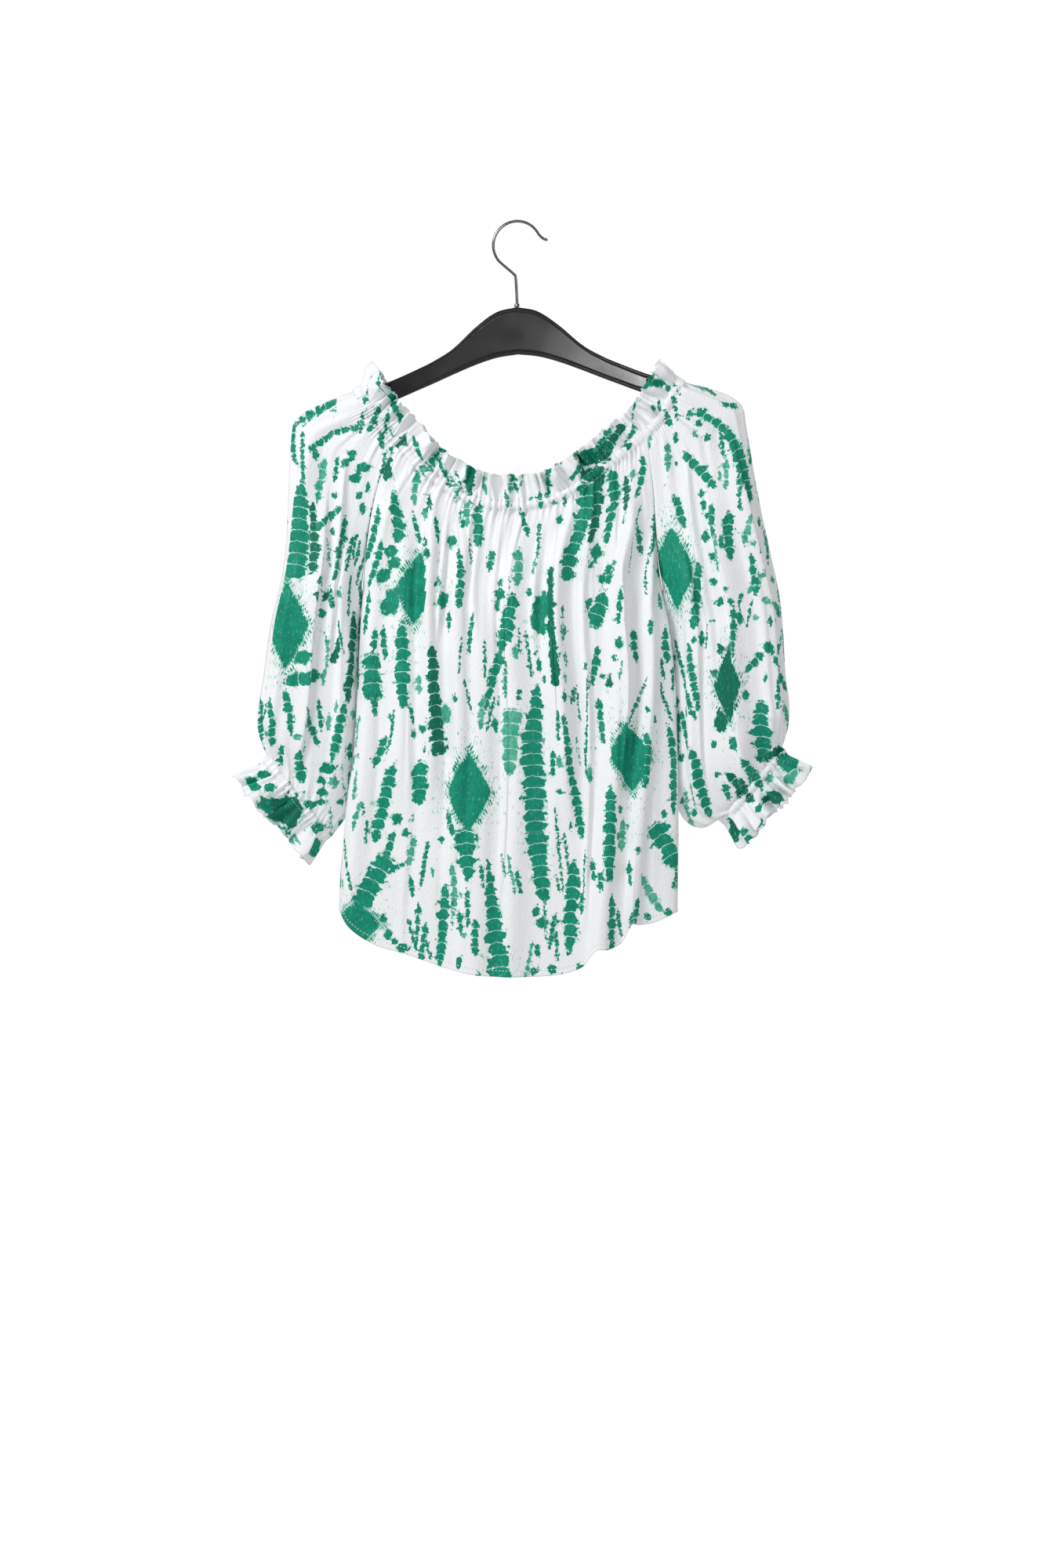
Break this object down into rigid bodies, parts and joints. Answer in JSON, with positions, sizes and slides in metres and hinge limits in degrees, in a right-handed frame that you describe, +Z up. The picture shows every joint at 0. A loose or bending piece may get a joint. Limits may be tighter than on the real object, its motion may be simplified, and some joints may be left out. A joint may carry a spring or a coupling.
{
  "type": "off-shoulder blouse on a hanger",
  "caption": "Off-shoulder blouse with a frilled elastic neckline, raglan sleeves with frilled elastic cuffs and a curved hem, hanging on a plastic hanger with a wire hook.",
  "frame": {"origin": "inner top of the hanger's hook, where the rail carries it", "axes": "+Z up; the front of the blouse faces -Y; the wearer's left is +X"},
  "size_m": [0.5824, 0.0714, 0.7353],
  "materials": {
    "satin": "white hammered satin with a green tie-dye print",
    "hanger_plastic": "black, satin gloss",
    "wire": "polished"
  },
  "bodies": {
    "root": {"front_panel": "satin", "back_panel": "satin", "right_sleeve": "satin", "left_sleeve": "satin", "hanger_body": "hanger_plastic", "hanger_hook": "wire", "hook_collar": "wire"}
  },
  "joints": []
}
